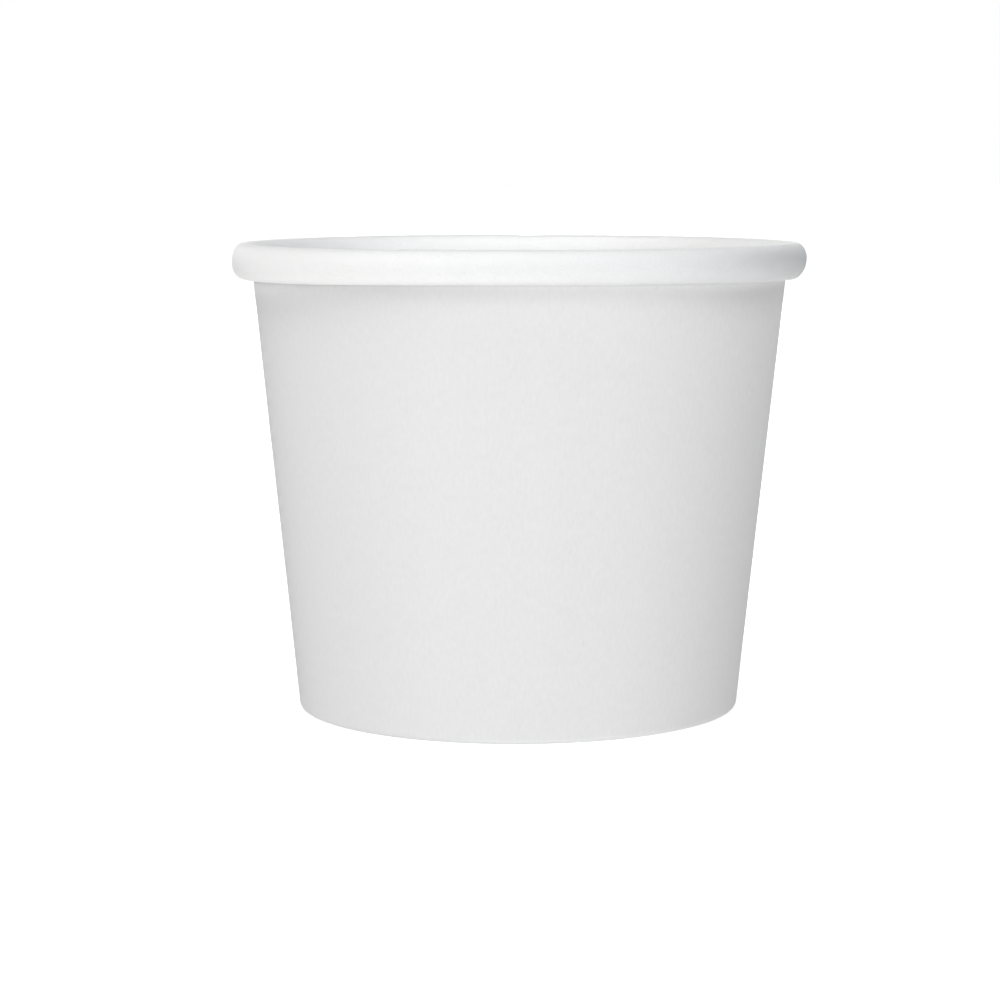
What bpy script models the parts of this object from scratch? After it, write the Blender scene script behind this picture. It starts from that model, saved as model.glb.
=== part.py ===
"""A small empty paper ice cream cup, modelled the way it is made.

One sheet of board is the side wall: it starts as a flap inside the foot, folds round the
edge of the base, climbs as a straight cone and ends rolled outwards into the rim, and its
two straight edges lap over each other in a seam at the back. A second sheet is the base:
a flat disc set up from the table, with a skirt that hangs in the fold of the foot.

The origin is the middle of the foot's underside, +Z is up and -Y is the front.
"""

import math

import bpy

MM = 0.001

# Driving dimensions, in metres
HEIGHT = 61.9 * MM
RIM_RADIUS = 38.0 * MM
RIM_HEIGHT = 4.3 * MM
RIM_CREST_RADIUS = 36.5 * MM
WALL_TOP_RADIUS = 35.3 * MM
FOOT_RADIUS = 29.35 * MM
BASE_HEIGHT = 6.4 * MM
FLAP_HEIGHT = 5.4 * MM
BOARD = 0.45 * MM
BASE_BOARD = 0.35 * MM
CLEARANCE = 0.15 * MM

# Smaller features of the two sheets
FOLD_CORNER = 0.25 * MM
SKIRT_END_HEIGHT = 1.1 * MM
BASE_CORNER_RADIUS = 1.2 * MM
BASE_DISH_RADIUS = 24.0 * MM
BASE_DISH_DEPTH = 0.3 * MM
BASE_DISH_RUN = 2.0 * MM
CURL_END_HEIGHT = 59.6 * MM
RIM_WIDEST_HEIGHT = 59.7 * MM
RIM_TOP_FULLNESS = 2.1
RIM_UNDERSIDE_FULLNESS = 2.4
LAP_STEPS = 3
LAP_LOWER_END = 1.0 * MM
LAP_UPPER_END = 57.2 * MM
LAP_THIN_SHARE = 0.2

SEGMENTS = 72
STEP_ANGLE = math.tau / SEGMENTS
SEAM_ANGLE = math.radians(90)
MERGE_DISTANCE = 0.00001

RIM_UNDERSIDE = HEIGHT - RIM_HEIGHT
WALL_SLOPE = (WALL_TOP_RADIUS - FOOT_RADIUS) / RIM_UNDERSIDE
WALL_COSINE = math.cos(math.atan(WALL_SLOPE))
FOLD_SPACING = BOARD + BASE_BOARD + 2 * CLEARANCE


def wall_radius(height, depth=0.0):
    """Radius of the wall's cone at a height, at a depth inwards from its outer face."""
    return FOOT_RADIUS + WALL_SLOPE * height - depth / WALL_COSINE


def rounded_quarter(centre, reach, start, fullness, steps):
    """Points of a quarter of a superellipse about a centre, from an angle in quarter turns."""
    points = []
    for step in range(1, steps + 1):
        angle = (start - step / steps) * math.pi / 2
        across = math.cos(angle)
        up = math.sin(angle)
        points.append(
            (
                centre[0] + reach[0] * math.copysign(abs(across) ** (2 / fullness), across),
                centre[1] + reach[1] * math.copysign(abs(up) ** (2 / fullness), up),
            )
        )
    return points


def wall_path():
    """Middle line of the side wall's board, as (radius, height), from its flap to the end of its curl."""
    middle = BOARD / 2
    flap = middle + FOLD_SPACING
    path = [
        (wall_radius(FLAP_HEIGHT, flap), FLAP_HEIGHT),
        (wall_radius(middle + FOLD_CORNER, flap), middle + FOLD_CORNER),
        (wall_radius(middle, flap) + FOLD_CORNER, middle),
        (wall_radius(middle, middle) - FOLD_CORNER, middle),
        (wall_radius(middle + FOLD_CORNER, middle), middle + FOLD_CORNER),
        (wall_radius(RIM_UNDERSIDE / 3, middle), RIM_UNDERSIDE / 3),
        (wall_radius(RIM_UNDERSIDE * 2 / 3, middle), RIM_UNDERSIDE * 2 / 3),
        (wall_radius(RIM_UNDERSIDE, middle), RIM_UNDERSIDE),
        (wall_radius(RIM_WIDEST_HEIGHT, middle), RIM_WIDEST_HEIGHT),
    ]
    centre = (RIM_CREST_RADIUS, RIM_WIDEST_HEIGHT)
    inner_reach = RIM_CREST_RADIUS - wall_radius(RIM_WIDEST_HEIGHT, middle)
    outer_reach = RIM_RADIUS - middle - RIM_CREST_RADIUS
    upper_reach = HEIGHT - middle - RIM_WIDEST_HEIGHT
    lower_reach = RIM_WIDEST_HEIGHT - middle - RIM_UNDERSIDE
    tucked_reach = inner_reach - BOARD - CLEARANCE
    path += rounded_quarter(centre, (inner_reach, upper_reach), 2, RIM_TOP_FULLNESS, 5)
    path += rounded_quarter(centre, (outer_reach, upper_reach), 1, RIM_TOP_FULLNESS, 5)
    path += rounded_quarter(centre, (outer_reach, lower_reach), 0, RIM_UNDERSIDE_FULLNESS, 5)
    path += rounded_quarter(centre, (tucked_reach, lower_reach), -1, 2, 4)[:-1]
    path.append((RIM_CREST_RADIUS - tucked_reach, CURL_END_HEIGHT))
    return path


def base_path():
    """Middle line of the base's board, as (radius, height), from its centre to the end of its skirt."""
    top = BASE_HEIGHT - BASE_BOARD / 2
    skirt = BOARD + CLEARANCE + BASE_BOARD / 2
    path = [
        (0.0, top - BASE_DISH_DEPTH),
        (BASE_DISH_RADIUS - BASE_DISH_RUN, top - BASE_DISH_DEPTH),
        (BASE_DISH_RADIUS, top),
    ]
    corner = (wall_radius(top, skirt) - BASE_CORNER_RADIUS, top - BASE_CORNER_RADIUS)
    path.append((corner[0], top))
    path += rounded_quarter(corner, (BASE_CORNER_RADIUS, BASE_CORNER_RADIUS), 1, 2, 5)[:-1]
    path.append((wall_radius(corner[1], skirt), corner[1]))
    path.append((wall_radius(SKIRT_END_HEIGHT, skirt), SKIRT_END_HEIGHT))
    return path


def new_material(name, colour, roughness):
    material = bpy.data.materials.new(name)
    material.use_nodes = True
    shader = material.node_tree.nodes["Principled BSDF"]
    shader.inputs["Base Color"].default_value = (*colour, 1.0)
    shader.inputs["Roughness"].default_value = roughness
    shader.inputs["Metallic"].default_value = 0.0
    material.diffuse_color = (*colour, 1.0)
    return material


def new_collection(name):
    collection = bpy.data.collections.new(name)
    bpy.context.scene.collection.children.link(collection)
    return collection


def turned_sheet(name, path, thickness, collection, turn=math.tau, steps=SEGMENTS, side=0.0):
    """A line of (radius, height) points turned about Z by Screw and given its thickness by Solidify."""
    mesh = bpy.data.meshes.new(name)
    edges = [(i, i + 1) for i in range(len(path) - 1)]
    mesh.from_pydata([(radius, 0.0, height) for radius, height in path], edges, [])
    sheet = bpy.data.objects.new(name, mesh)
    collection.objects.link(sheet)

    screw = sheet.modifiers.new("Turn", "SCREW")
    screw.angle = turn
    screw.steps = steps
    screw.render_steps = steps
    screw.use_merge_vertices = turn == math.tau
    screw.merge_threshold = MERGE_DISTANCE
    screw.use_normal_calculate = False

    solidify = sheet.modifiers.new("Board", "SOLIDIFY")
    solidify.thickness = thickness
    solidify.offset = side
    solidify.use_even_offset = True
    solidify.use_quality_normals = True
    return sheet


def evaluated_copy(source, name, collection):
    """A new object that holds another's mesh as its modifiers leave it, and takes its place."""
    graph = bpy.context.evaluated_depsgraph_get()
    mesh = bpy.data.meshes.new_from_object(source.evaluated_get(graph))
    mesh.transform(source.matrix_world)
    copy = bpy.data.objects.new(name, mesh)
    collection.objects.link(copy)
    bpy.data.objects.remove(source)
    return copy


def make_lap(collection):
    """The outer edge of the wall's sheet where it laps over the other one.

    A strip of the cone that starts inside the board and thickens round the cup, so that it
    rises out of the wall on one side and ends in a step as high as the board on the other.
    """
    middle = BOARD / 2
    path = [
        (wall_radius(LAP_UPPER_END, middle), LAP_UPPER_END),
        (wall_radius(LAP_LOWER_END, middle), LAP_LOWER_END),
    ]
    turn = LAP_STEPS * STEP_ANGLE
    strip = turned_sheet("lap_line", path, 0.0, collection, turn, LAP_STEPS)
    strip.modifiers.remove(strip.modifiers["Board"])
    bpy.context.view_layer.update()
    lap = evaluated_copy(strip, "seam_lap", collection)
    lap.rotation_euler.z = SEAM_ANGLE

    thickening = lap.vertex_groups.new(name="thickening")
    for vertex in lap.data.vertices:
        share = math.atan2(vertex.co.y, vertex.co.x) / turn
        thickening.add([vertex.index], share, "REPLACE")

    board = lap.modifiers.new("Board", "SOLIDIFY")
    board.thickness = middle + BOARD
    board.offset = 1.0
    board.vertex_group = thickening.name
    board.thickness_vertex_group = LAP_THIN_SHARE
    lap.hide_render = True
    lap.display_type = "WIRE"
    return lap


def make_side_wall(parts, cutters, material):
    wall = turned_sheet("side_wall", wall_path(), BOARD, parts)
    wall.data.materials.append(material)
    lap = make_lap(cutters)
    join = wall.modifiers.new("Seam lap", "BOOLEAN")
    join.operation = "UNION"
    join.solver = "EXACT"
    join.object = lap
    return wall


def make_base_disc(parts, material):
    base = turned_sheet("base_disc", base_path(), BASE_BOARD, parts)
    base.data.materials.append(material)
    return base


def main():
    for item in list(bpy.data.objects):
        bpy.data.objects.remove(item)
    parts = new_collection("paper_ice_cream_cup")
    cutters = new_collection("cup_guides")
    printed = new_material("printed_board", (0.80, 0.80, 0.80), 0.75)
    coated = new_material("coated_board", (0.93, 0.93, 0.92), 0.45)
    make_side_wall(parts, cutters, printed)
    make_base_disc(parts, coated)


main()
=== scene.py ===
"""The looks of a small empty paper ice cream cup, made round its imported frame.

The side wall is one sheet of board that is grey outside and white inside. It is made as two
layers of that sheet: the printed outer layer and the coated inner layer, which rolls out
over the top and so shows as the rim. The base is a second sheet. Lengths are in metres, +Z
is up, -Y is the front and the seam of the side wall is at the back.
"""

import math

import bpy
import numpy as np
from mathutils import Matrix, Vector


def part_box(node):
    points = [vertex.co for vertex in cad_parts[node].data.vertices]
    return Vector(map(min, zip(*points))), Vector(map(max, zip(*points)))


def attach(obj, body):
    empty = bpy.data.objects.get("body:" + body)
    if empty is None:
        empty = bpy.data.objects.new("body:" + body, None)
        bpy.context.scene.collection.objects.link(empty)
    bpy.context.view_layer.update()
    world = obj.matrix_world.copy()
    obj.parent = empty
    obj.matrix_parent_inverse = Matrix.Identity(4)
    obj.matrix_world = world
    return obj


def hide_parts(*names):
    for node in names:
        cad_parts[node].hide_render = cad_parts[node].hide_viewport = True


bl_info = {
    "name": "Paper Ice Cream Cup",
    "version": (1, 0, 0),
    "blender": (4, 5, 0),
    "location": "3D View > Sidebar > Paper Cup",
    "description": "Makes a small paper ice cream cup with a rolled rim, a lapped seam and a folded foot",
    "category": "Add Mesh",
}

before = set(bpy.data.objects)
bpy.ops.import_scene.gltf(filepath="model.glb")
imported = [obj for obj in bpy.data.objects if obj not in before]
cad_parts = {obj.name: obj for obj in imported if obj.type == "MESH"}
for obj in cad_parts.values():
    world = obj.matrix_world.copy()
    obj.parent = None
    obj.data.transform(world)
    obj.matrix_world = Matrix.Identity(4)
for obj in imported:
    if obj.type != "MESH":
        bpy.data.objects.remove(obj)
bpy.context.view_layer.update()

WALL_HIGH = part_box("side_wall")[1]
BASE_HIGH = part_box("base_disc")[1]

MM = 0.001
FULL_TURN = 2 * math.pi
SHEET_MAP = "sheet"
ROLLED = "rolled"
UNDERSIDE = "underside"


def length(name, description, default):
    """A property that is a length in metres."""
    return bpy.props.FloatProperty(
        name=name, description=description, default=default, precision=5, unit="LENGTH", subtype="DISTANCE"
    )


def angle(name, description, degrees):
    """A property that is an angle, its default given in degrees."""
    return bpy.props.FloatProperty(
        name=name, description=description, default=math.radians(degrees), unit="ROTATION", subtype="ANGLE"
    )


def share(name, description, default):
    """A property that is a share from 0 to 1."""
    return bpy.props.FloatProperty(
        name=name, description=description, default=default, min=0.0, max=1.0, subtype="FACTOR"
    )


def number(name, description, default):
    """A plain number."""
    return bpy.props.FloatProperty(name=name, description=description, default=default)


def count(name, description, default):
    """A property that counts rows, columns or ridges."""
    return bpy.props.IntProperty(name=name, description=description, default=default, min=2)


def colour(name, description, default):
    """A property that is a linear colour."""
    return bpy.props.FloatVectorProperty(
        name=name, description=description, default=default, size=3, min=0.0, max=1.0, subtype="COLOR"
    )


class CupShape(bpy.types.PropertyGroup):
    """Sizes of the cup; the outer ones are read from the frame."""

    height: length("Height", "From the table to the top of the rim", WALL_HIGH.z)
    rim_radius: length("Rim radius", "Outside of the rolled rim", WALL_HIGH.x)
    rim_height: length("Rim height", "How tall the rolled rim is", 4.3 * MM)
    crest_radius: length("Crest radius", "Where the rim is highest", 36.5 * MM)
    rim_widest: length("Rim's widest height", "Height at which the rim is widest", 59.7 * MM)
    top_fullness: number("Top fullness", "Squareness of the rim's upper half, 2 is round", 2.1)
    under_fullness: number("Underside fullness", "Squareness of the rim's lower half", 2.4)
    wall_top_radius: length("Wall radius at the rim", "Outside of the wall where the rim begins", 35.3 * MM)
    foot_radius: length("Foot radius", "Outside of the wall at the table", 29.35 * MM)
    board: length("Board", "Thickness of the side wall's board", 0.45 * MM)
    base_board: length("Base board", "Thickness of the base's board", 0.35 * MM)
    clearance: length("Clearance", "Gap between boards that are pressed together", 0.15 * MM)
    tuck_gap: length("Tuck gap", "Between the end of the roll and the wall", 0.04 * MM)
    base_height: length("Base height", "From the table to the top of the base", BASE_HIGH.z)
    base_corner: length("Base corner", "Radius at which the base turns down into its skirt", 1.2 * MM)
    flap_height: length("Flap height", "How high the flap reaches inside the foot", 5.4 * MM)
    heel_radius: length("Heel radius", "Where the rim's underside is lowest", 36.1 * MM)
    tuck_radius: length("Tuck radius", "Bend at which the roll turns up against the wall", 0.6 * MM)
    tuck_end: length("Tuck end", "Height at which the sheet ends, inside the roll", 58.9 * MM)
    sag: length("Rim sag", "How much lower the rim's underside is at its sides", 0.48 * MM)
    heel_shift: length("Heel shift", "How far left the rim's lower half sits", 0.16 * MM)


class CupSeam(bpy.types.PropertyGroup):
    """The lap of the side wall's two straight edges."""

    place: angle("Place", "Direction of the edge that lies inside, from +X", 90.0)
    lap: angle("Lap", "How far the outer edge reaches past the inner one", 15.0)
    ease: angle("Ease", "How far from the lap the outer edge starts to rise", 7.0)
    gap: length("Gap", "Between the two layers", 0.01 * MM)
    foot_squeeze: share("Squeeze at the foot", "What is left of each layer's thickness there", 0.5)
    rim_squeeze: share("Squeeze in the rim", "What is left of each layer's thickness there", 0.25)


class CupRelief(bpy.types.PropertyGroup):
    """What keeps the cup from being a perfect turned body."""

    lean: number("Lean", "How far the rim sits to one side, for each metre of height", 0.0048)
    oval: length("Oval", "How far the rim is out of round", 0.07 * MM)
    wave: length("Waves", "Height of the slow waves in the wall and the rim", 0.03 * MM)
    tip: length("Tip", "How far the rim sits lower at the right and higher at the left", 0.07 * MM)
    ripple: length("Rim ripple", "Height of the small uneven ripples of the rolled rim", 0.015 * MM)
    ridges: count("Knurl ridges", "Ridges that the foot's tool presses round the flap", 120)
    ridge_depth: length("Knurl depth", "Depth of those ridges", 0.07 * MM)
    puckers: count("Puckers", "Small pleats round the corner of the base", 72)
    pucker_depth: length("Pucker depth", "Depth of those pleats", 0.05 * MM)


class CupMesh(bpy.types.PropertyGroup):
    """How finely the surfaces are cut."""

    turn_columns: count("Columns", "Columns of the wall's grid in a full turn", 480)
    flap_rows: count("Flap rows", "Rows up the flap", 8)
    fold_rows: count("Fold rows", "Rows round the fold of the foot", 12)
    wall_rows: count("Wall rows", "Rows up the cone", 22)
    curl_rows: count("Curl rows", "Rows round the rolled rim", 46)
    base_columns: count("Base columns", "Columns of the base's grid in a full turn", 360)
    dish_rows: count("Dish rows", "Rows from the middle of the base to its corner", 26)
    corner_rows: count("Corner rows", "Rows round the corner of the base", 12)
    skirt_rows: count("Skirt rows", "Rows down the skirt of the base", 8)


class CupFinish(bpy.types.PropertyGroup):
    """Colours and finishes."""

    printed: colour("Printed grey", "Outer face of the side wall", (0.775, 0.775, 0.777))
    coated: colour("Coated white", "Inner face of the side wall, the rim and the base", (0.93, 0.932, 0.925))
    cut: colour("Cut edge", "Bare board where the sheet is cut", (0.80, 0.77, 0.70))
    under: colour("Underside", "Uncoated underside of the base", (0.86, 0.85, 0.82))
    printed_roughness: share("Printed roughness", "Matt print", 0.72)
    coated_roughness: share("Coated roughness", "Satin coating", 0.5)
    mottle: share("Mottle", "Strength of the cloudy look of paper", 0.035)
    specks: share("Specks", "How much darker the small specks of the board are", 0.10)
    sheen: share("Sheen", "Strength of the reflections, 0.5 is that of plastic", 0.3)
    unevenness: share("Unevenness", "How far the coated white strays from its colour", 0.02)
    fibre_relief: length("Fibre relief", "Height of the board's fibres", 0.006 * MM)
    wrinkle_relief: length("Wrinkle relief", "Height of the fine wrinkles of the rolled rim", 0.12 * MM)


class CupStage(bpy.types.PropertyGroup):
    """Camera, floor and lights."""

    camera_distance: length("Camera distance", "From the cup's axis", 381.5 * MM)
    camera_height: length("Camera height", "Above the table", 72.4 * MM)
    camera_tilt: angle("Camera tilt", "Downwards", 6.728)
    camera_pan: angle("Camera pan", "To the left", 0.353)
    camera_roll: angle("Camera roll", "Clockwise, seen from behind the camera", 0.16)
    lens_ratio: number("Lens ratio", "Focal length for each width of the picture", 2.8633)
    floor: colour("Floor", "Pale floor", (0.90, 0.90, 0.90))
    floor_radius: length("Floor radius", "How far the floor reaches", 8.0)
    white_glow: number("White glow", "Light straight up from the floor on the white pieces", 1.12)
    print_glow: number("Print glow", "Light straight up from the floor on the print", 2.3)
    floor_light: number("Floor light", "Light on the floor alone that makes no shadow", 2.8)
    floor_shadow: number("Floor shadow", "Light on the floor alone that the cup shades", 1.4)
    backdrop: number("Backdrop", "Brightness that the camera sees behind the cup", 1.0)


PROPERTY_GROUPS = {
    "cup_shape": CupShape,
    "cup_seam": CupSeam,
    "cup_relief": CupRelief,
    "cup_mesh": CupMesh,
    "cup_finish": CupFinish,
    "cup_stage": CupStage,
}


class Value:
    """A socket of a shader graph. Python's operators on it add Math nodes."""

    def __init__(self, graph, socket):
        self.graph = graph
        self.socket = socket

    def math(self, operation, *values):
        """A Math node of that operation on these values."""
        return self.graph.node("ShaderNodeMath", {"operation": operation}, dict(enumerate(values)))

    def __add__(self, other):
        return self.math("ADD", self, other)

    def __radd__(self, other):
        return self.math("ADD", other, self)

    def __sub__(self, other):
        return self.math("SUBTRACT", self, other)

    def __rsub__(self, other):
        return self.math("SUBTRACT", other, self)

    def __mul__(self, other):
        return self.math("MULTIPLY", self, other)

    def __rmul__(self, other):
        return self.math("MULTIPLY", other, self)

    def clipped(self):
        """The value, kept from 0 to 1."""
        return self.graph.node("ShaderNodeClamp", {}, {"Value": self})


class Graph:
    """The node graph of a material or a world, with its output node."""

    def __init__(self, owner, output_kind):
        owner.use_nodes = True
        self.tree = owner.node_tree
        self.tree.nodes.clear()
        self.output = self.tree.nodes.new(output_kind)

    def node(self, kind, settings, inputs, output=0):
        """A new node: its settings first, then the values or links of its sockets. Returns one output."""
        made = self.tree.nodes.new(kind)
        for key, value in settings.items():
            setattr(made, key, value)
        for key, value in inputs.items():
            self.feed(made.inputs[key], value)
        return Value(self, made.outputs[output])

    def feed(self, socket, value):
        """Links an output to a socket, or sets the socket's own value."""
        if isinstance(value, Value):
            self.tree.links.new(value.socket, socket)
        else:
            socket.default_value = value

    def finish(self, surface):
        """Links the last shader to the output node."""
        self.feed(self.output.inputs["Surface"], surface)

    def noise(self, vector, scale, detail=2.0, roughness=0.5):
        """Noise from 0 to 1 at a number of bumps for each metre."""
        inputs = {"Vector": vector, "Scale": scale, "Detail": detail, "Roughness": roughness}
        return self.node("ShaderNodeTexNoise", {"noise_dimensions": "3D"}, inputs)

    def spread(self, value, low, high, new_low=0.0, new_high=1.0):
        """A value's range from low to high, smoothly spread over a new range."""
        inputs = {"Value": value, "From Min": low, "From Max": high, "To Min": new_low, "To Max": new_high}
        return self.node("ShaderNodeMapRange", {"interpolation_type": "SMOOTHSTEP"}, inputs)

    def stretched(self, vector, stretch):
        """A vector multiplied by another, part by part."""
        return self.node("ShaderNodeVectorMath", {"operation": "MULTIPLY"}, {0: vector, 1: stretch})

    def blend(self, factor, first, second):
        """A mix of two colours."""
        inputs = {"Factor": factor, 6: first, 7: second}
        return self.node("ShaderNodeMix", {"data_type": "RGBA"}, inputs, output=2)

    def bump(self, height, relief):
        """A normal bent by a height from 0 to 1 that stands for that much relief."""
        return self.node("ShaderNodeBump", {}, {"Strength": 1.0, "Distance": relief, "Height": height})

    def principled(self, inputs):
        """A Principled shader."""
        return self.node("ShaderNodeBsdfPrincipled", {}, inputs)


def rgba(linear, factor=1.0):
    """A linear colour, made darker by a factor, with a full alpha."""
    return (linear[0] * factor, linear[1] * factor, linear[2] * factor, 1.0)


def smooth_step(values, low, high):
    """0 below low, 1 above high and a smooth cubic between them."""
    part = np.clip((values - low) / (high - low), 0.0, 1.0)
    return part * part * (3.0 - 2.0 * part)


def superellipse(centre, reach, start, end, fullness):
    """Fine points of a superellipse about a centre, from one angle to another in degrees.

    Along each axis: the centre, plus the reach times the cosine or sine raised to 2 / fullness,
    with its sign kept.
    """
    turn = np.radians(np.linspace(start, end, FINE_POINTS))
    parts = [np.sign(wave) * np.abs(wave) ** (2.0 / fullness) for wave in (np.cos(turn), np.sin(turn))]
    return np.stack([centre[0] + reach[0] * parts[0], centre[1] + reach[1] * parts[1]], axis=1)


def evenly(points, rows, ends=True):
    """The same line cut into rows points that are equally far apart along it."""
    steps = np.linalg.norm(np.diff(points, axis=0), axis=1)
    along = np.concatenate([[0.0], np.cumsum(steps)])
    wanted = np.linspace(0.0, along[-1], rows + (0 if ends else 1))
    wanted = wanted if ends else wanted[1:]
    return np.stack([np.interp(wanted, along, points[:, axis]) for axis in (0, 1)], axis=1)


def softened(points, window):
    """The line with each inner point moved to the mean of its neighbours within a window of points."""
    half = window // 2
    padded = np.concatenate([points[:1].repeat(half, 0), points, points[-1:].repeat(half, 0)])
    kernel = np.ones(2 * half + 1) / (2 * half + 1)
    smooth = np.stack([np.convolve(padded[:, axis], kernel, "valid") for axis in (0, 1)], axis=1)
    smooth[:half] = points[:half]
    smooth[-half:] = points[-half:]
    return smooth


FOLD_FULLNESS = 2.6
FOOT_SQUEEZE_END = 4.0 * MM
RIM_SQUEEZE_START = 51.0 * MM
RIM_SQUEEZE_END = 56.0 * MM
ROLL_LEAD = 1.2 * MM
FINE_POINTS = 200
PATH_STEPS = 3200
PATH_WINDOW = 31
CRINKLE_ROWS = 8
SHIFT_RUN = 0.8 * MM
DISH_RADIUS = 24.0 * MM
DISH_RUN = 2.0 * MM
DISH_DEPTH = 0.3 * MM
CORNER_END = 6.0
SKIRT_END = 1.1 * MM
PLEAT_START = DISH_RADIUS + 2.5 * MM
PLEAT_END = DISH_RADIUS + 4.5 * MM
MAP_RADIUS = 33.0 * MM
RIPPLES = ((31, 0.9), (47, -1.3), (71, 2.1), (103, -1.7))
UPPER_HALF = 0.45
OVAL_PHASE = 1.7
WALL_WAVES = ((3, 2.1, 1.0), (5, 0.4, 0.7))
TWIST_WAVES = 4
TWIST = 9.0
RIM_WAVES = ((2, 1.9, 1.0), (5, 2.6, 0.8))


def cone(shape, height, depth):
    """Radius of the side wall at a height, at a depth inwards from its printed face."""
    slope = (shape.wall_top_radius - shape.foot_radius) / (shape.height - shape.rim_height)
    return shape.foot_radius + slope * height - depth * math.hypot(1.0, slope)


def wall_sections(shape, cells):
    """White face of the side wall's board, as four lines of (radius, height): flap, fold, cone and roll.

    The flap and the cone are straight, the fold is half a superellipse between them, and the roll
    is three quarters of superellipses about the rim's middle, a small bend at its heel and a short
    straight end beside the wall. The joint of cone and roll is softened.
    """
    half_fold = shape.base_board / 2 + shape.clearance
    fold_middle = shape.board + half_fold
    flap_depth = shape.board + 2 * half_fold
    flap = np.array([(cone(shape, z, flap_depth), z) for z in (shape.flap_height, fold_middle)])
    centre = (cone(shape, fold_middle, shape.board + half_fold), fold_middle)
    fold = superellipse(centre, (half_fold, half_fold), 180, 360, FOLD_FULLNESS)

    middle = (shape.crest_radius, shape.rim_widest)
    inner = shape.crest_radius - cone(shape, shape.rim_widest, shape.board)
    outer = shape.rim_radius - shape.crest_radius
    upper = shape.height - shape.rim_widest
    heel = (shape.heel_radius, shape.rim_widest)
    heel_reach = (shape.rim_radius - shape.heel_radius, shape.rim_widest - shape.height + shape.rim_height)
    bend = (shape.heel_radius, shape.height - shape.rim_height + shape.tuck_radius)
    bend_reach = (shape.heel_radius - cone(shape, bend[1], -shape.tuck_gap), shape.tuck_radius)
    rise = np.array([(cone(shape, z, shape.board), z) for z in (fold_middle, shape.rim_widest)])
    roll = [
        superellipse(middle, (inner, upper), 180, 90, shape.top_fullness),
        superellipse(middle, (outer, upper), 90, 0, shape.top_fullness)[1:],
        superellipse(heel, heel_reach, 0, -90, shape.under_fullness)[1:],
        superellipse(bend, bend_reach, -90, -180, 2.0)[1:],
        np.array([(cone(shape, shape.tuck_end, -shape.tuck_gap), shape.tuck_end)]),
    ]
    line = softened(evenly(np.concatenate([rise, *roll]), PATH_STEPS), PATH_WINDOW)
    start = np.argmax(line[:, 1] > shape.rim_widest - ROLL_LEAD)
    return (
        evenly(flap, cells.flap_rows),
        evenly(fold, cells.fold_rows, ends=False),
        evenly(line[: start + 1], cells.wall_rows, ends=False),
        evenly(line[start:], cells.curl_rows, ends=False),
    )


def waves_round(around, waves):
    """Sum of waves round the cup, each given by its number in a turn, its phase and its weight."""
    return sum(weight * np.cos(number * around + phase) for number, phase, weight in waves)


def settled(points, cup):
    """The same points on a cup that isn't quite a turned body.

    A point is moved outwards by slow waves round the cup that grow with its height, up and down
    by waves that only the upper half has, and sideways by its height times the lean.
    """
    x, y, z = points[..., 0], points[..., 1], points[..., 2]
    relief = cup.relief
    around = np.arctan2(y, x)
    high = z / cup.shape.height
    upper = smooth_step(high, UPPER_HALF, 1.0)
    out = relief.oval * high * np.cos(2 * around + OVAL_PHASE)
    out += relief.wave * high * waves_round(around, WALL_WAVES)
    out += relief.wave * high * (1 - high) * np.cos(TWIST_WAVES * around + TWIST * high)
    up = relief.wave * upper * waves_round(around, RIM_WAVES) - relief.tip * upper * np.cos(around)
    radius = np.hypot(x, y)
    grow = 1.0 + out / np.maximum(radius, MM)
    return np.stack([x * grow + relief.lean * z, y * grow, z + up], axis=-1)


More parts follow.
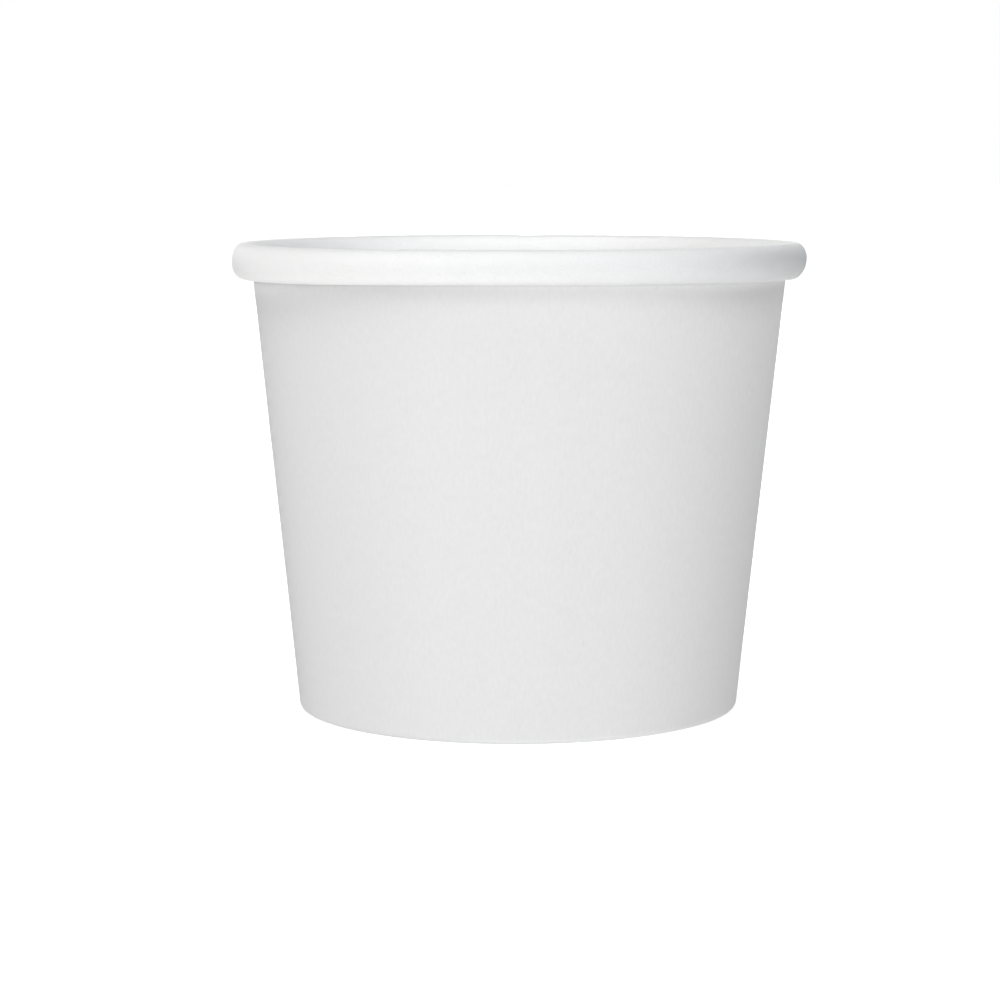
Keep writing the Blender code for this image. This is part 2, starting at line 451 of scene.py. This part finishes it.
class WallSheet:
    """The side wall's sheet of board as a grid.

    Rows run from the top of the flap to the end of the roll, and columns run round the cup from
    the edge that lies inside the lap to the edge that lies outside it, a full turn and a lap on.
    """

    def __init__(self, cup):
        shape, seam, cells = cup.shape, cup.seam, cup.mesh
        self.cup = cup
        sections = wall_sections(shape, cells)
        path = np.concatenate(sections)
        steps = np.linalg.norm(np.diff(path, axis=0), axis=1)
        self.along = np.concatenate([[0.0], np.cumsum(steps)])
        tangent = np.gradient(path, self.along, axis=0)
        tangent /= np.linalg.norm(tangent, axis=1, keepdims=True)
        self.path = path
        self.printed_way = np.stack([tangent[:, 1], -tangent[:, 0]], axis=1)

        row = np.arange(len(path))
        roll_start = len(path) - len(sections[3])
        cone_start = len(sections[0]) + len(sections[1])
        self.on_flap = row < len(sections[0])
        widest = np.argmax(path[:, 0])
        heel = widest + np.argmin(path[widest:, 1])
        widest_at, heel_at = self.along[widest], self.along[heel]
        self.hang = shape.sag * smooth_step(self.along, widest_at, heel_at)
        self.shift = shape.heel_shift * smooth_step(self.along, widest_at - SHIFT_RUN, heel_at - SHIFT_RUN)
        self.rolled = smooth_step(row, roll_start - 1, roll_start + CRINKLE_ROWS)
        free = self.rolled * (1 - smooth_step(self.along, heel_at - SHIFT_RUN, heel_at + SHIFT_RUN))

        height = path[:, 1]
        squeeze = seam.foot_squeeze + (1 - seam.foot_squeeze) * smooth_step(height, MM, FOOT_SQUEEZE_END)
        squeeze = np.where(row < cone_start, seam.foot_squeeze, squeeze)
        near_rim = np.maximum(smooth_step(height, RIM_SQUEEZE_START, RIM_SQUEEZE_END), row >= roll_start)
        squeeze = np.where(row < cone_start, squeeze, squeeze + (seam.rim_squeeze - squeeze) * near_rim)

        columns = cells.turn_columns + round(cells.turn_columns * seam.lap / FULL_TURN) + 1
        self.turn = np.linspace(0.0, FULL_TURN + seam.lap, columns)
        self.around = self.turn + seam.place
        over = smooth_step(self.turn, FULL_TURN - seam.ease, FULL_TURN)
        under = 1.0 - smooth_step(self.turn, seam.lap, seam.lap + seam.ease / 3)
        doubled = np.maximum(over, under)
        self.lift = (shape.board * squeeze + seam.gap)[:, None] * over[None]
        self.lift += cup.relief.ripple * free[:, None] * self.ripples()
        self.thickness = shape.board * (1.0 - (1.0 - squeeze)[:, None] * doubled[None])

    def ripples(self):
        """Small uneven ripples: the mean of waves of several lengths, each bent along the path."""
        along = self.along[:, None] / MM
        waves = [np.cos(number * self.around[None] + bend * along) for number, bend in RIPPLES]
        return np.mean(waves, axis=0)

    def face(self, part):
        """Grid of points at a part of the board's thickness: 0 is its white face, 1 its printed one."""
        depth = self.lift + part * self.thickness
        if part == 1.0:
            relief = self.cup.relief
            knurl = 0.5 + 0.5 * np.cos(relief.ridges * self.around)
            depth = depth - relief.ridge_depth * self.on_flap[:, None] * knurl[None]
        radius = self.path[:, :1] + self.printed_way[:, :1] * depth
        height = self.path[:, 1:] + self.printed_way[:, 1:] * depth
        height = height - self.hang[:, None] * np.cos(self.around) ** 2
        x = radius * np.cos(self.around) - self.shift[:, None]
        return settled(np.stack([x, radius * np.sin(self.around), height], axis=-1), self.cup)

    def map(self):
        """Each point's place on the flat sheet: its way round, times one radius, and its way along."""
        return np.stack(np.meshgrid(self.turn * MAP_RADIUS, self.along), axis=-1)


def quads(*corners):
    """Rows of four point numbers, from four equal arrays of them."""
    return np.stack([corner.ravel() for corner in corners], axis=1)


def closed_layer(printed_side, white_side):
    """Points, faces and edge marks of a layer of sheet between two equal grids.

    The first grid's faces point to the printed side, the second grid's the other way, and four
    strips join the grids along their edges. The marks are 1 on those strips and 0 elsewhere.
    """
    rows, columns = printed_side.shape[:2]
    a = np.arange(rows * columns).reshape(rows, columns)
    b = a + rows * columns
    faces = [
        quads(a[:-1, :-1], a[:-1, 1:], a[1:, 1:], a[1:, :-1]),
        quads(b[:-1, :-1], b[1:, :-1], b[1:, 1:], b[:-1, 1:]),
        quads(b[0, :-1], b[0, 1:], a[0, 1:], a[0, :-1]),
        quads(a[-1, :-1], a[-1, 1:], b[-1, 1:], b[-1, :-1]),
        quads(b[:-1, 0], a[:-1, 0], a[1:, 0], b[1:, 0]),
        quads(b[1:, -1], a[1:, -1], a[:-1, -1], b[:-1, -1]),
    ]
    marks = np.repeat([0, 0, 1, 1, 1, 1], [len(part) for part in faces])
    points = np.concatenate([printed_side.reshape(-1, 3), white_side.reshape(-1, 3)])
    return points, np.concatenate(faces), marks


def add_piece(name, points, faces, maps, marks, materials, values, smooth_below):
    """A mesh object at the origin, from arrays of points and faces.

    maps holds each point's place on the flat sheet, marks each face's material, and values named
    numbers for the points, which its material reads.
    """
    mesh = bpy.data.meshes.new(name)
    mesh.from_pydata(points, [], faces)
    corners = np.empty(len(mesh.loops), np.int32)
    mesh.loops.foreach_get("vertex_index", corners)
    layer = mesh.uv_layers.new(name=SHEET_MAP)
    layer.data.foreach_set("uv", maps.reshape(-1, 2)[corners].astype(np.float32).ravel())
    for key, numbers in values.items():
        attribute = mesh.attributes.new(key, "FLOAT", "POINT")
        attribute.data.foreach_set("value", numbers.astype(np.float32).ravel())
    for material in materials:
        mesh.materials.append(material)
    mesh.polygons.foreach_set("material_index", marks.astype(np.int32))
    mesh.shade_smooth()
    mesh.set_sharp_from_angle(angle=smooth_below)
    piece = bpy.data.objects.new(name, mesh)
    bpy.context.scene.collection.objects.link(piece)
    if mesh.validate():
        raise RuntimeError(f"{name} has faulty faces")
    return piece


def dress(piece, node):
    """The piece hangs from the root body in place of a node of the frame, whose own mesh is hidden."""
    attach(piece, "root")
    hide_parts(node)


SHARP = math.radians(50)
MAP_FIBRES = (1.0, 0.4, 1.0)
CLOUDS = 420.0
FIBRES = 2300.0
CUT_FIBRES = 3000.0
CREASES = 3800.0
SPECK_CELLS = 150.0
SPECK_SIZES = 900.0
SPECK_START, SPECK_END = 0.07, 0.11
SIZE_SPREAD = 0.12
MATT = 0.9
UNCOATED = 0.4


def board_pattern(graph, vector):
    """Cloud, grain and specks of a sheet of board, each from 0 to 1, on its flat map in metres."""
    fibres = graph.stretched(vector, MAP_FIBRES)
    cloud = graph.noise(vector, CLOUDS, 3.0, 0.6)
    grain = graph.noise(fibres, FIBRES, 2.0, 0.6)
    sizes = graph.noise(vector, SPECK_SIZES, 1.0)
    cells = graph.node("ShaderNodeTexVoronoi", {"feature": "F1"}, {"Vector": vector, "Scale": SPECK_CELLS})
    specks = graph.spread(cells + SIZE_SPREAD * sizes, SPECK_START, SPECK_END, 1.0, 0.0)
    return cloud, grain, specks


def shades(graph, tone, linear, reach):
    """A linear colour that goes from darker to lighter by the same reach as the tone goes from 0 to 1."""
    return graph.blend(tone, rgba(linear, 1 - reach), rgba(linear, 1 + reach))


def printed_material(finish):
    """Matt grey print on board: cloudy, with upright fibres and a few small dark specks."""
    material = bpy.data.materials.new("printed_grey")
    graph = Graph(material, "ShaderNodeOutputMaterial")
    flat = graph.node("ShaderNodeUVMap", {"uv_map": SHEET_MAP}, {})
    cloud, grain, specks = board_pattern(graph, flat)
    tone = 0.5 + (cloud - 0.5) * 0.5 + (grain - 0.5) * 1.3
    spotted = (tone.clipped() - specks * (finish.specks / finish.mottle)).clipped()
    shader = graph.principled({
        "Base Color": shades(graph, spotted, finish.printed, finish.mottle),
        "Roughness": finish.printed_roughness + (cloud - 0.5) * 0.15,
        "Specular IOR Level": finish.sheen,
        "Normal": graph.bump(0.6 * grain + 0.4 * cloud, finish.fibre_relief),
    })
    graph.finish(shader)
    return material


def coated_material(finish):
    """White coated board: satin, a little uneven, with fine wrinkles where it is rolled. There its colour is
    also darker in the wrinkles' hollows and lighter on their crests, which is painted shade.
    """
    material = bpy.data.materials.new("coated_white")
    graph = Graph(material, "ShaderNodeOutputMaterial")
    flat = graph.node("ShaderNodeUVMap", {"uv_map": SHEET_MAP}, {})
    cloud, grain, specks = board_pattern(graph, flat)
    rolled = graph.node("ShaderNodeAttribute", {"attribute_name": ROLLED}, {}, output=2)
    creases = graph.noise(flat, CREASES, 2.0, 0.65)
    # The tone has a random unevenness everywhere. On the rolled rim it also follows the wrinkles' height:
    # painted shade in their hollows.
    tone = (0.5 + (cloud - 0.5) * 0.5 + (creases - 0.5) * (rolled * 1.6 + 0.8) - specks * 0.3).clipped()
    height = 0.1 * cloud + 0.1 * grain + 0.8 * creases * rolled
    shader = graph.principled({
        "Base Color": shades(graph, tone, finish.coated, finish.unevenness),
        "Roughness": finish.coated_roughness + (cloud - 0.5) * 0.12 + rolled * 0.06,
        "Specular IOR Level": finish.sheen,
        "Normal": graph.bump(height, finish.wrinkle_relief),
    })
    graph.finish(shader)
    return material


def cut_material(finish):
    """Bare board at a cut edge: warm, rough and fibrous."""
    material = bpy.data.materials.new("cut_board")
    graph = Graph(material, "ShaderNodeOutputMaterial")
    place = graph.node("ShaderNodeTexCoord", {}, {}, output=3)
    fibres = graph.noise(place, CUT_FIBRES, 2.0, 0.6)
    shader = graph.principled({
        "Base Color": graph.blend(fibres, rgba(finish.cut, 0.9), rgba(finish.cut, 1.08)),
        "Roughness": MATT,
        "Normal": graph.bump(fibres, finish.fibre_relief),
    })
    graph.finish(shader)
    return material


def base_material(finish):
    """The base's board: coated white on top, bare and a little warmer underneath."""
    material = bpy.data.materials.new("base_white")
    graph = Graph(material, "ShaderNodeOutputMaterial")
    place = graph.node("ShaderNodeTexCoord", {}, {}, output=3)
    cloud, grain, specks = board_pattern(graph, place)
    below = graph.node("ShaderNodeAttribute", {"attribute_name": UNDERSIDE}, {}, output=2)
    tone = (0.5 + (cloud - 0.5) * 0.7 + (grain - 0.5) * 0.3).clipped()
    top = shades(graph, tone, finish.coated, finish.unevenness)
    bare = shades(graph, (tone - specks * 0.8).clipped(), finish.under, 0.04)
    shader = graph.principled({
        "Base Color": graph.blend(below, top, bare),
        "Roughness": finish.coated_roughness + below * UNCOATED,
        "Normal": graph.bump(0.5 * cloud + 0.5 * grain, finish.fibre_relief),
    })
    graph.finish(shader)
    return material


def base_line(shape, cells):
    """Upper face of the base, as a line of (radius, height) from its middle to the end of its skirt.

    A flat dish whose rim rises by a smooth step, nearly a quarter of a circle at the corner, and
    a straight skirt that hangs beside the wall.
    """
    depth = shape.board + shape.clearance
    turn_height = shape.base_height - shape.base_corner
    corner = (cone(shape, shape.base_height, depth) - shape.base_corner, turn_height)
    across = np.linspace(0.0, corner[0], FINE_POINTS)
    dish = shape.base_height - DISH_DEPTH * (1 - smooth_step(across, DISH_RADIUS - DISH_RUN, DISH_RADIUS))
    quarter = superellipse(corner, (shape.base_corner, shape.base_corner), 90, CORNER_END, 2.0)[1:]
    skirt = np.array([(cone(shape, SKIRT_END, depth), SKIRT_END)])
    line = np.concatenate([np.stack([across, dish], axis=1), quarter, skirt])
    return np.concatenate([
        evenly(line[:FINE_POINTS], cells.dish_rows),
        evenly(line[FINE_POINTS - 1 : -1], cells.corner_rows, ends=False),
        evenly(line[-2:], cells.skirt_rows, ends=False),
    ])


def turned_body(line, thickness, columns, cup):
    """Points, faces and underside marks of a turned sheet that reaches its axis.

    The line is its upper face. The lower face is that line moved by the thickness along its
    normal, and both faces are carried round Z. Small pleats bend both of them at the corner.
    """
    steps = np.linalg.norm(np.diff(line, axis=0), axis=1)
    along = np.concatenate([[0.0], np.cumsum(steps)])
    tangent = np.gradient(line, along, axis=0)
    tangent /= np.linalg.norm(tangent, axis=1, keepdims=True)
    inwards = np.stack([tangent[:, 1], -tangent[:, 0]], axis=1)
    lower = line + inwards * thickness
    lower[0, 0] = 0.0
    profile = np.concatenate([line, lower[::-1]])
    outwards = -np.concatenate([inwards, inwards[::-1]])
    pleated = smooth_step(profile[:, 0], PLEAT_START, PLEAT_END)

    around = np.arange(columns) * FULL_TURN / columns
    pleats = cup.relief.pucker_depth * pleated[:, None] * np.cos(cup.relief.puckers * around)
    radius = profile[:, :1] + outwards[:, :1] * pleats
    height = profile[:, 1:] + outwards[:, 1:] * pleats
    grid = np.stack([radius * np.cos(around), radius * np.sin(around), height], axis=-1)
    ring = grid[1:-1]
    points = np.concatenate([ring.reshape(-1, 3), grid[0, :1], grid[-1, :1]])

    rows = len(ring)
    number = np.arange(rows * columns).reshape(rows, columns)
    following = np.roll(number, -1, axis=1)
    top = np.full(columns, rows * columns)
    band = quads(number[:-1], number[1:], following[1:], following[:-1])
    caps = [
        np.stack([top, number[0], following[0]], axis=1),
        np.stack([top + 1, following[-1], number[-1]], axis=1),
    ]
    below = (np.arange(rows) >= len(line) - 1).astype(float)
    marks = np.concatenate([np.repeat(below, columns), [0.0, 1.0]])
    return settled(points, cup), [*band.tolist(), *caps[0].tolist(), *caps[1].tolist()], marks


class Cup:
    """The property groups of a scene, under short names."""

    def __init__(self, scene):
        self.shape = scene.cup_shape
        self.seam = scene.cup_seam
        self.relief = scene.cup_relief
        self.mesh = scene.cup_mesh
        self.finish = scene.cup_finish
        self.stage = scene.cup_stage


COAT_SHARE = 0.4
PRINTED_LAYER = "side_wall_printed"
COATED_LAYER = "side_wall_coated"
BASE = "base"


class PAPERCUP_OT_printed_layer(bpy.types.Operator):
    """Add the grey printed outer layer of the side wall, with its folded foot and the seam at the back"""

    bl_idname = "paper_cup.printed_layer"
    bl_label = "Printed Outer Layer"

    def execute(self, context):
        cup = Cup(context.scene)
        sheet = WallSheet(cup)
        points, faces, marks = closed_layer(sheet.face(1.0), sheet.face(COAT_SHARE))
        maps = np.tile(sheet.map().reshape(-1, 2), (2, 1))
        materials = (printed_material(cup.finish), cut_material(cup.finish))
        piece = add_piece(PRINTED_LAYER, points, faces, maps, marks, materials, {}, SHARP)
        dress(piece, "side_wall")
        return {"FINISHED"}


class PAPERCUP_OT_coated_layer(bpy.types.Operator):
    """Add the white coated inner layer of the side wall, which rolls out over the top into the rim"""

    bl_idname = "paper_cup.coated_layer"
    bl_label = "Coated Inner Layer and Rim"

    def execute(self, context):
        cup = Cup(context.scene)
        sheet = WallSheet(cup)
        points, faces, marks = closed_layer(sheet.face(COAT_SHARE), sheet.face(0.0))
        maps = np.tile(sheet.map().reshape(-1, 2), (2, 1))
        rolled = np.tile(np.repeat(sheet.rolled, len(sheet.turn)), 2)
        materials = (coated_material(cup.finish), cut_material(cup.finish))
        piece = add_piece(COATED_LAYER, points, faces, maps, marks, materials, {ROLLED: rolled}, SHARP)
        dress(piece, "side_wall")
        return {"FINISHED"}


class PAPERCUP_OT_base(bpy.types.Operator):
    """Add the base, a disc of board with a skirt that hangs in the fold of the foot"""

    bl_idname = "paper_cup.base"
    bl_label = "Base"

    def execute(self, context):
        cup = Cup(context.scene)
        line = base_line(cup.shape, cup.mesh)
        points, faces, below = turned_body(line, cup.shape.base_board, cup.mesh.base_columns, cup)
        materials = (base_material(cup.finish),)
        marks = np.zeros(len(faces))
        piece = add_piece(BASE, points, faces, points[:, :2], marks, materials, {UNDERSIDE: below}, SHARP)
        dress(piece, "base_disc")
        return {"FINISHED"}


# Each soft box: its azimuth and elevation in degrees, its watts and its tint. The white board, the
# grey print and the base have lights of their own, and the ones behind shine on everything.
NEUTRAL = (1.0, 1.0, 1.0)
FAINT_GREEN = (0.98, 1.0, 0.99)
FAINT_BLUE = (0.985, 1.0, 1.03)
WHITE_LIGHTS = {
    "white_key": (-30.0, 15.0, 6.9, NEUTRAL),
    "white_low": (-10.0, -45.0, 3.3, NEUTRAL),
    "white_left": (-90.0, -15.0, 3.35, FAINT_GREEN),
    "white_high": (-90.0, 70.0, 4.9, NEUTRAL),
    "white_right": (50.0, 15.0, 6.2, FAINT_BLUE),
    "white_behind": (180.0, -15.0, 5.5, NEUTRAL),
}
PRINT_LIGHTS = {
    "print_key": (-30.0, 0.0, 5.85, NEUTRAL),
    "print_left": (-90.0, 15.0, 4.0, NEUTRAL),
    "print_high_left": (-60.0, 70.0, 4.7, NEUTRAL),
    "print_high": (0.0, 45.0, 4.65, NEUTRAL),
    "print_fill": (50.0, 0.0, 5.8, NEUTRAL),
    "print_right": (110.0, 45.0, 3.95, NEUTRAL),
    "print_behind": (180.0, 15.0, 8.0, NEUTRAL),
}
BASE_LIGHTS = {
    "base_high": (0.0, 80.0, 1.5, NEUTRAL),
}
BACK_LIGHTS = {
    "back": (180.0, 15.0, 2.3, NEUTRAL),
    "back_right": (150.0, 15.0, 1.15, NEUTRAL),
    "back_left": (-150.0, 15.0, 1.4, NEUTRAL),
}
SOFTBOX_DISTANCE = 1.1
SOFTBOX_SIDE = 0.5
SOFTBOX_AIM = Vector((0.0, 0.0, 0.03))
FLOOR_RINGS = 48
FLOOR_COLUMNS = 96
FLOOR_GROWTH = 3
SENSOR_WIDTH = 36.0
FLOOR_SUN_ANGLE = math.radians(80)
GLOW_SUN_ANGLE = math.radians(10)


def add_floor(stage):
    """The pale floor: a flat disc of rings whose radii grow with the cube of their number.

    Only the camera sees it. It throws no light on the cup, as low lamps stand for that light.
    """
    rings, columns = FLOOR_RINGS, FLOOR_COLUMNS
    radius = stage.floor_radius * np.linspace(0.0, 1.0, rings + 1)[1:] ** FLOOR_GROWTH
    around = np.arange(columns) * FULL_TURN / columns
    level = np.zeros((rings, columns))
    grid = np.stack([np.outer(radius, np.cos(around)), np.outer(radius, np.sin(around)), level], axis=-1)
    number = np.arange(rings * columns).reshape(rings, columns)
    following = np.roll(number, -1, axis=1)
    band = quads(number[:-1], number[1:], following[1:], following[:-1])
    middle = np.full(columns, rings * columns)
    cap = np.stack([middle, number[0], following[0]], axis=1)
    mesh = bpy.data.meshes.new("floor")
    mesh.from_pydata([*grid.reshape(-1, 3), (0.0, 0.0, 0.0)], [], [*band.tolist(), *cap.tolist()])
    mesh.shade_smooth()
    floor = bpy.data.objects.new("floor", mesh)
    bpy.context.scene.collection.objects.link(floor)
    material = bpy.data.materials.new("floor_pale")
    graph = Graph(material, "ShaderNodeOutputMaterial")
    dull = {"Base Color": rgba(stage.floor), "Roughness": MATT, "Specular IOR Level": 0.1}
    graph.finish(graph.principled(dull))
    mesh.materials.append(material)
    floor.visible_diffuse = False
    floor.visible_glossy = False
    floor.visible_shadow = False
    return floor


def add_world(stage):
    """Plain white for the camera beyond the floor. The lamps give all the light."""
    world = bpy.data.worlds.new("studio")
    bpy.context.scene.world = world
    graph = Graph(world, "ShaderNodeOutputWorld")
    for_camera = graph.node("ShaderNodeLightPath", {}, {}, output=0)
    inputs = {"Color": (1.0, 1.0, 1.0, 1.0), "Strength": stage.backdrop * for_camera}
    graph.finish(graph.node("ShaderNodeBackground", {}, inputs))


def group_of(name, *members):
    """A collection of objects for a light to shine on or be stopped by."""
    group = bpy.data.collections.new(name)
    for member in members:
        group.objects.link(member)
    return group


def add_lamp(name, kind, strength, receivers, blockers=None):
    """A lamp that shines on some objects alone, and that only some may stop. None means all."""
    light = bpy.data.lights.new(name, kind)
    light.energy = strength
    lamp = bpy.data.objects.new(name, light)
    lamp.visible_camera = False
    lamp.light_linking.receiver_collection = receivers
    lamp.light_linking.blocker_collection = blockers
    bpy.context.scene.collection.objects.link(lamp)
    return lamp


def add_sun(name, strength, receivers, blockers=None):
    """A wide sun straight above."""
    lamp = add_lamp(name, "SUN", strength, receivers, blockers)
    lamp.data.angle = FLOOR_SUN_ANGLE


def add_glow(name, strength, receivers, blockers):
    """A narrow sun straight below, for the light that a white floor throws back."""
    lamp = add_lamp(name, "SUN", strength, receivers, blockers)
    lamp.data.angle = GLOW_SUN_ANGLE
    lamp.rotation_euler.x = math.pi


def add_softbox(name, azimuth, elevation, watts, tint, receivers=None):
    """A square area light that faces the cup, in front of it at azimuth 0 and at its right at 90.

    One below the level of the floor stands for what the white table throws back.
    """
    lamp = add_lamp(name, "AREA", watts, receivers)
    lamp.data.shape = "SQUARE"
    lamp.data.size = SOFTBOX_SIDE
    lamp.data.color = tint
    turn, rise = math.radians(azimuth), math.radians(elevation)
    way = Vector((math.sin(turn) * math.cos(rise), -math.cos(turn) * math.cos(rise), math.sin(rise)))
    lamp.location = way * SOFTBOX_DISTANCE + SOFTBOX_AIM
    lamp.rotation_mode = "QUATERNION"
    lamp.rotation_quaternion = way.to_track_quat("Z", "Y")


def add_camera(stage):
    """The camera in front of the cup, turned by its pan, tilt and roll."""
    data = bpy.data.cameras.new("camera")
    data.sensor_width = SENSOR_WIDTH
    data.lens = data.sensor_width * stage.lens_ratio
    data.clip_start = 0.01
    data.clip_end = 100.0
    camera = bpy.data.objects.new("camera", data)
    bpy.context.scene.collection.objects.link(camera)
    camera.matrix_world = (
        Matrix.Translation((0.0, -stage.camera_distance, stage.camera_height))
        @ Matrix.Rotation(stage.camera_pan, 4, "Z")
        @ Matrix.Rotation(math.pi / 2 - stage.camera_tilt, 4, "X")
        @ Matrix.Rotation(-stage.camera_roll, 4, "Z")
    )
    bpy.context.scene.camera = camera


class PAPERCUP_OT_stage(bpy.types.Operator):
    """Add the pale floor, the soft lights and the camera at the photograph's viewing angle"""

    bl_idname = "paper_cup.stage"
    bl_label = "Floor, Lights and Camera"

    def execute(self, context):
        stage = context.scene.cup_stage
        printed, coated, base = (bpy.data.objects[name] for name in (PRINTED_LAYER, COATED_LAYER, BASE))
        floor = add_floor(stage)
        ground = group_of("ground", floor)
        white = group_of("white_pieces", coated, base, floor)
        grey = group_of("grey_piece", printed)
        within = group_of("within", base)
        add_world(stage)
        add_sun("floor_plain", stage.floor_light, ground, ground)
        add_sun("floor_shade", stage.floor_shadow, ground)
        add_glow("white_glow", stage.white_glow, white, within)
        add_glow("print_glow", stage.print_glow, grey, within)
        linked = ((BACK_LIGHTS, None), (WHITE_LIGHTS, white), (PRINT_LIGHTS, grey), (BASE_LIGHTS, within))
        for lights, receivers in linked:
            for name, placed in lights.items():
                add_softbox(name, *placed, receivers)
        add_camera(stage)
        context.scene.view_settings.view_transform = "Standard"
        return {"FINISHED"}


OPERATORS = (
    PAPERCUP_OT_printed_layer,
    PAPERCUP_OT_coated_layer,
    PAPERCUP_OT_base,
    PAPERCUP_OT_stage,
)


class PAPERCUP_PT_panel(bpy.types.Panel):
    """The cup's sizes and finishes, and a button for each piece"""

    bl_idname = "PAPERCUP_PT_panel"
    bl_label = "Paper Ice Cream Cup"
    bl_space_type = "VIEW_3D"
    bl_region_type = "UI"
    bl_category = "Paper Cup"

    def draw(self, context):
        for name in PROPERTY_GROUPS:
            group = getattr(context.scene, name)
            box = self.layout.box()
            box.label(text=name.replace("_", " ").capitalize())
            for key in group.__annotations__:
                box.prop(group, key)
        for operator in OPERATORS:
            self.layout.operator(operator.bl_idname)


def register():
    for group in PROPERTY_GROUPS.values():
        bpy.utils.register_class(group)
    for name, group in PROPERTY_GROUPS.items():
        setattr(bpy.types.Scene, name, bpy.props.PointerProperty(type=group))
    for operator in OPERATORS:
        bpy.utils.register_class(operator)
    bpy.utils.register_class(PAPERCUP_PT_panel)


def unregister():
    bpy.utils.unregister_class(PAPERCUP_PT_panel)
    for operator in reversed(OPERATORS):
        bpy.utils.unregister_class(operator)
    for name in PROPERTY_GROUPS:
        delattr(bpy.types.Scene, name)
    for group in reversed(list(PROPERTY_GROUPS.values())):
        bpy.utils.unregister_class(group)


def corners(box):
    """A box's two corners as plain lists."""
    return [list(corner) for corner in box]


def main():
    register()
    bpy.ops.paper_cup.printed_layer()
    bpy.ops.paper_cup.coated_layer()
    bpy.ops.paper_cup.base()
    bpy.ops.paper_cup.stage()


if __name__ == "__main__":
    main()
